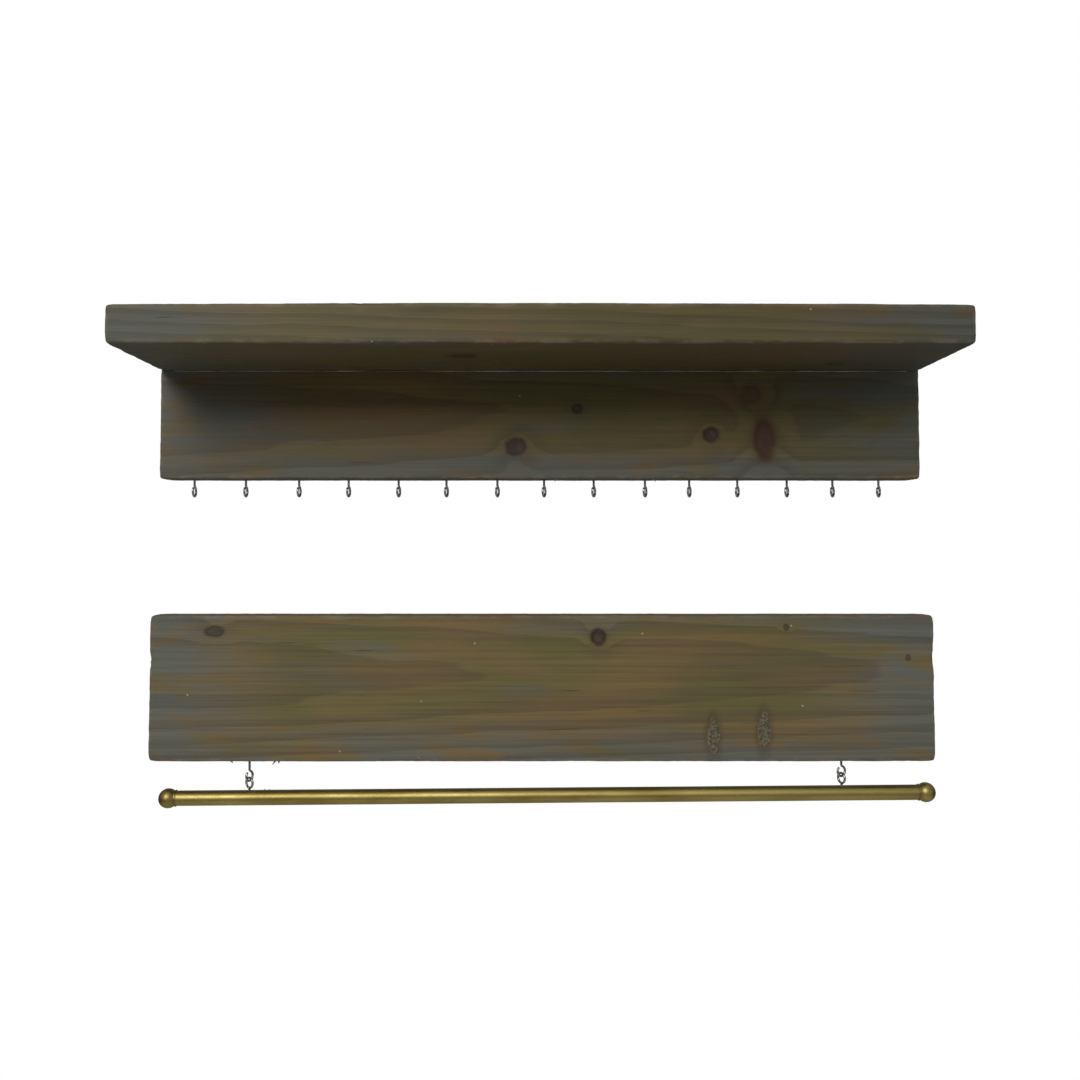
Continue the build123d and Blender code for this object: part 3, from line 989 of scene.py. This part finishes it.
def addThread(piece, foot, up, threadLength):
    # a three-sided ridge wound round the core, fading out at both ends
    letGo()
    turns = int((threadLength / mm - 1.0) / wire["threadPitch"])
    start = foot + Vector((wire["threadCore"] * mm, 0, up * 0.5 * mm))
    bpy.ops.mesh.primitive_circle_add(vertices=3, radius=0.26 * mm, location=start, rotation=(pi / 2, 0, 0),
                                      fill_type="NOTHING")
    ridge = bpy.context.object
    pick(ridge)
    bpy.ops.object.transform_apply(location=True, rotation=True, scale=True)
    ridge.data.transform(Matrix.Translation(-Vector((foot.x, foot.y, 0))))
    bpy.ops.object.modifier_add(type="SCREW")
    wind = ridge.modifiers[-1]
    wind.angle = 2 * pi
    wind.iterations = turns
    wind.screw_offset = up * wire["threadPitch"] * mm
    wind.steps = 14
    wind.render_steps = 14
    bpy.ops.object.modifier_apply(modifier=wind.name)
    ends = (foot.z + up * 0.5 * mm, foot.z + up * (0.5 * mm + turns * wire["threadPitch"] * mm))
    for vert in ridge.data.vertices:
        along = abs(vert.co.z - ends[0]) / abs(ends[1] - ends[0])
        flat = Vector((vert.co.x, vert.co.y, 0))
        fade = min(1.0, 6 * along, 5 * (1 - along))
        reach = wire["threadCore"] * mm * (1.0 if along < 0.75 else max(0.25, 1 - 3.2 * (along - 0.75)))
        ridgeHeight = (flat.length - wire["threadCore"] * mm) * max(fade, 0.05)
        flat = flat.normalized() * (reach + ridgeHeight)
        vert.co.x, vert.co.y = flat.x, flat.y
    ridge.data.transform(Matrix.Translation(Vector((foot.x, foot.y, 0))))
    editAll(ridge)
    bpy.ops.mesh.select_all(action="DESELECT")
    bpy.ops.mesh.select_non_manifold()
    bpy.ops.mesh.edge_face_add()
    letGo()
    ridge.select_set(True)
    piece.select_set(True)
    bpy.context.view_layer.objects.active = piece
    bpy.ops.object.join()


def hookPlace(node):
    low, high = (Vector(corner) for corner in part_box(node))
    return (low + high) / 2, low, high


necklaceHook = {"turn": 73.0, "fan": 33.0, "drop": 2.75, "thread": 9.0}
boardFoot = Vector(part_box("back_board")[0]).z
firstMiddle = hookPlace("necklace_hook_01")[0]
firstTurn = radians(necklaceHook["turn"] + necklaceHook["fan"] / 2)
across = Vector((cos(firstTurn), sin(firstTurn), 0))
footPlace = Vector((firstMiddle.x, firstMiddle.y, boardFoot))
firstHook, _ = bendWire(
    footPlace, 1, across, necklaceHook["drop"] * mm, wire["tip"], necklaceHook["thread"] * mm,
)
settle(firstHook, 50)
hookNodes = sorted(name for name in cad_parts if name.startswith("necklace_hook_"))
for index, node in enumerate(hookNodes):
    middle = hookPlace(node)[0]
    twist = -radians(necklaceHook["fan"]) * index / (len(hookNodes) - 1)
    shift = Vector((middle.x - footPlace.x, 0, 0))
    twin = copyPiece(firstHook, shift, twist, footPlace)
    finishPiece(twin, "necklaceHook" + node[-2:], "upper_unit", wireZinc, (node,))
bpy.data.objects.remove(firstHook, do_unlink=True)
print("necklace hooks bent")

rodHook = {"turn": {"left": 67.0, "right": 30.0}, "thread": 9.0}
rodEye = {"turn": {"left": -38.0, "right": -65.0}, "thread": 5.5, "tip": 97.0, "neck": 0.6}
rodLeft = hookPlace("rod_finial_left")[0]
rodRight = hookPlace("rod_finial_right")[0]
rodAlong = (rodRight - rodLeft).normalized()
rodRadius = 4.0 * mm
boardFoot = Vector(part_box("rod_board")[0]).z
for side in ("left", "right"):
    middle, low, high = hookPlace("rod_hook_" + side)
    turn = radians(rodHook["turn"][side])
    across = Vector((cos(turn), sin(turn), 0))
    hang = sqrt((wire["neck"] + wire["loop"]) ** 2 - wire["neck"] ** 2) + wire["loop"] + wire["radius"]
    drop = boardFoot - low.z - hang * mm
    piece, _ = bendWire(
        Vector((middle.x, middle.y, boardFoot)), 1, across, drop, wire["tip"], rodHook["thread"] * mm,
    )
    settle(piece, 50)
    finishPiece(piece, "rodHook" + side.title(), "lower_unit", wireZinc, ("rod_hook_" + side,))

    middle, low, high = hookPlace("rod_eye_" + side)
    turn = radians(rodEye["turn"][side])
    across = Vector((cos(turn), sin(turn), 0))
    ringTop = high.z - wire["radius"] * mm
    ringCentre = Vector((middle.x, middle.y, ringTop - wire["loop"] * mm))
    foot = ringCentre - Vector((0, 0, (wire["loop"] + wire["radius"] + rodEye["neck"]) * mm))
    drop = (
        rodEye["neck"] + wire["radius"] + wire["loop"]
    ) * mm - (wire["neck"] + wire["loop"]) * sin(neckTurn) * mm
    piece, _ = bendWire(foot, -1, across, drop, rodEye["tip"], rodEye["thread"] * mm)
    settle(piece, 50)
    finishPiece(piece, "rodEye" + side.title(), "hanging_rod", wireZinc, ("rod_eye_" + side,))
print("rod hooks and eyes bent")


# bracelet rod

rodLook = {"sides": 48, "collar": 0.35, "burrs": [(-145.4, 0.5), (-142.7, 0.4), (-140.2, 0.25)]}
finialRadius = (Vector(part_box("rod_finial_left")[1]) - Vector(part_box("rod_finial_left")[0])).z / 2
faceReach = sqrt(finialRadius ** 2 - rodRadius ** 2)
leftBall = Vector((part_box("rod_finial_left")[0][0] + finialRadius, rodLeft.y, rodLeft.z))
rightBall = Vector((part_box("rod_finial_right")[1][0] - finialRadius, rodRight.y, rodRight.z))
rodAlong = (rightBall - leftBall).normalized()
rodMiddle = (leftBall + rightBall) / 2
rodHalf = (rightBall - leftBall).length / 2 - faceReach
layFlat = rodAlong.to_track_quat("Z", "Y").to_matrix().to_4x4()


def makeRod():
    letGo()
    bpy.ops.mesh.primitive_circle_add(vertices=rodLook["sides"], radius=2.5 * mm,
                                      location=(0, 0, -rodHalf - 5 * mm), fill_type="NGON")
    bar = bpy.context.object
    pick(bar)
    bpy.ops.object.transform_apply(location=True, rotation=True, scale=True)
    editAll(bar)
    middle = stepOut([((0, 0, 5 * mm), 1), ((0, 0, 0.0), 3.85 / 2.5), ((0, 0, 0.15 * mm), 4.0 / 3.85)],
                     (0, 0, -rodHalf - 5 * mm))
    middle = stepOut(
        [
            ((0, 0, 2 * rodHalf - 0.3 * mm), 1), ((0, 0, 0.15 * mm), 3.85 / 4.0),
            ((0, 0, 0.0), 2.5 / 3.85), ((0, 0, 5 * mm), 1),
        ],
        middle,
    )
    subdivideAlong(bar, 2, 0.3, 19)
    subdivideAlong(bar, 2, 0.015, 9)
    letGo()
    for vert in bar.data.vertices:
        p = vert.co / mm
        if Vector((p.x, p.y)).length < 3.9:
            continue
        push = 0.035 * noise.noise(Vector((p.x * 0.3, p.y * 0.3, p.z * 0.02)))
        push -= 0.06 * max(0.0, noise.noise(Vector((p.x * 0.5, p.y * 0.5, p.z * 0.12 + 9))) - 0.45)
        away = Vector((p.x, p.y, 0)).normalized()
        vert.co = vert.co + (away * (push - 0.04)) * mm
    bar.data.transform(Matrix.Translation(rodMiddle) @ layFlat)
    for x, size in rodLook["burrs"]:  # little burrs raised where the eye was driven in
        onTop = rodMiddle + rodAlong * (x * mm - rodMiddle.x) + Vector((0, 0, rodRadius - 0.1 * mm))
        letGo()
        bpy.ops.mesh.primitive_ico_sphere_add(subdivisions=2, radius=size * mm, location=onTop)
        burr = bpy.context.object
        editAll(burr)
        bpy.ops.transform.resize(value=(1.4, 0.8, 0.9), center_override=onTop)
        pick(burr)
        bpy.ops.object.transform_apply(location=True, rotation=True, scale=True)
        for vert in burr.data.vertices:
            vert.co = onTop + (vert.co - onTop) * (1 + 0.35 * noise.noise(vert.co / mm * 1.7))
        burr.select_set(True)
        bar.select_set(True)
        bpy.context.view_layer.objects.active = bar
        bpy.ops.object.join()
    settle(bar, 40)
    finishPiece(bar, "braceletRod", "hanging_rod", brass, ("bracelet_rod",))


def makeFinial(side, ball, way):
    # a turned ball with a small collar where it meets the rod
    letGo()
    bpy.ops.mesh.primitive_uv_sphere_add(segments=rodLook["sides"], ring_count=32, radius=finialRadius)
    knob = bpy.context.object
    editAll(knob)
    cut = -faceReach - 0.25 * mm
    bpy.ops.mesh.bisect(plane_co=(0, 0, cut), plane_no=(0, 0, 1), clear_inner=True, use_fill=True)
    selectVerts(knob, lambda co: abs(co.z - cut) < 0.01 * mm)
    rim = sqrt(finialRadius ** 2 - cut ** 2) / mm
    grow = (4.0 + rodLook["collar"]) / rim
    stepOut([((0, 0, -0.12 * mm), 1.0), ((0, 0, -0.16 * mm), grow), ((0, 0, -0.3 * mm), 1.0),
             ((0, 0, -0.14 * mm), 4.02 / (4.0 + rodLook["collar"])), ((0, 0, 0.0), 2.5 / 4.02),
             ((0, 0, 5.0 * mm), 1.0)], (0, 0, cut))
    letGo()
    turn = (rodAlong * way).to_track_quat("Z", "Y").to_matrix().to_4x4()
    knob.data.transform(Matrix.Translation(ball) @ turn)
    settle(knob, 32)
    finishPiece(knob, "rodFinial" + side.title(), "hanging_rod", brass, ("rod_finial_" + side,))


makeRod()
makeFinial("left", leftBall, -1)
makeFinial("right", rightBall, 1)
print("rod turned")


# hangers and screws

def crossScrew(headRadius, headHeight, shankRadius, length, point):
    # countersunk screw lying along -Y from the origin, with a cross recess in its head
    letGo()
    bpy.ops.mesh.primitive_circle_add(vertices=32, radius=headRadius * mm * 0.97, location=(0, 0, 0),
                                      rotation=(pi / 2, 0, 0), fill_type="NGON")
    screw = bpy.context.object
    pick(screw)
    bpy.ops.object.transform_apply(location=True, rotation=True, scale=True)
    editAll(screw)
    middle = stepOut(
        [
            ((0, -0.08 * mm, 0), 1 / 0.97),
            ((0, -(headHeight - 0.08) * mm, 0), shankRadius / headRadius),
            ((0, -(length - headHeight - point) * mm, 0), 1), ((0, -point * mm, 0), 0.08),
        ],
        (0, 0, 0),
    )
    settle(screw, 35)
    for wide, tall in ((1.15, 0.26), (0.26, 1.15)):
        letGo()
        bpy.ops.mesh.primitive_cube_add(size=1, location=(0, 0, 0))
        blade = bpy.context.object
        editAll(blade)
        bpy.ops.transform.resize(
            value=(wide * headRadius * mm, headHeight * 1.3 * mm, tall * headRadius * mm),
            center_override=(0, 0, 0),
        )
        selectVerts(blade, lambda co: co.y < 0)
        bpy.ops.transform.resize(value=(0.5, 1, 0.5), center_override=(0, 0, 0))
        cutWith(screw, blade)
    settle(screw, 35)
    return screw


hangerScrew = {"head": 2.8, "headHeight": 1.2, "shank": 1.4, "length": 13.0, "point": 2.5}
shelfScrew = {"head": 3.9, "headHeight": 2.6, "shank": 1.9, "length": 45.0, "point": 4.0}


def setScrews(look, nodes, slotBody):
    pattern = crossScrew(look["head"], look["headHeight"], look["shank"], look["length"], look["point"])
    for index, node in enumerate(nodes):
        low, high = (Vector(corner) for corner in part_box(node))
        foot = Vector(((low.x + high.x) / 2, high.y, (low.z + high.z) / 2))
        twin = copyPiece(pattern, Vector())
        turn = Matrix.Rotation(radians(37 * index + 11), 4, "Y")
        twin.data.transform(Matrix.Translation(foot) @ turn)
        words = node.split("_")
        finishPiece(
            twin, words[0] + "".join(word.title() for word in words[1:]), slotBody(node), screwZinc,
            (node,),
        )
    bpy.data.objects.remove(pattern, do_unlink=True)


hangerScrewNodes = sorted(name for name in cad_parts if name.endswith("_screw"))
shelfScrewNodes = sorted(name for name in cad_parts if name.startswith("shelf_screw_"))
setScrews(hangerScrew, hangerScrewNodes, lambda node: node.split("_")[0] + "_unit")
setScrews(shelfScrew, shelfScrewNodes, lambda node: "upper_unit")
for unit in ("upper", "lower"):
    for side in ("left", "right"):
        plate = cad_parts[unit + "_hanger_" + side]
        for slotPlace in plate.material_slots:
            slotPlace.material = sheetZinc
print("hangers and screws set")
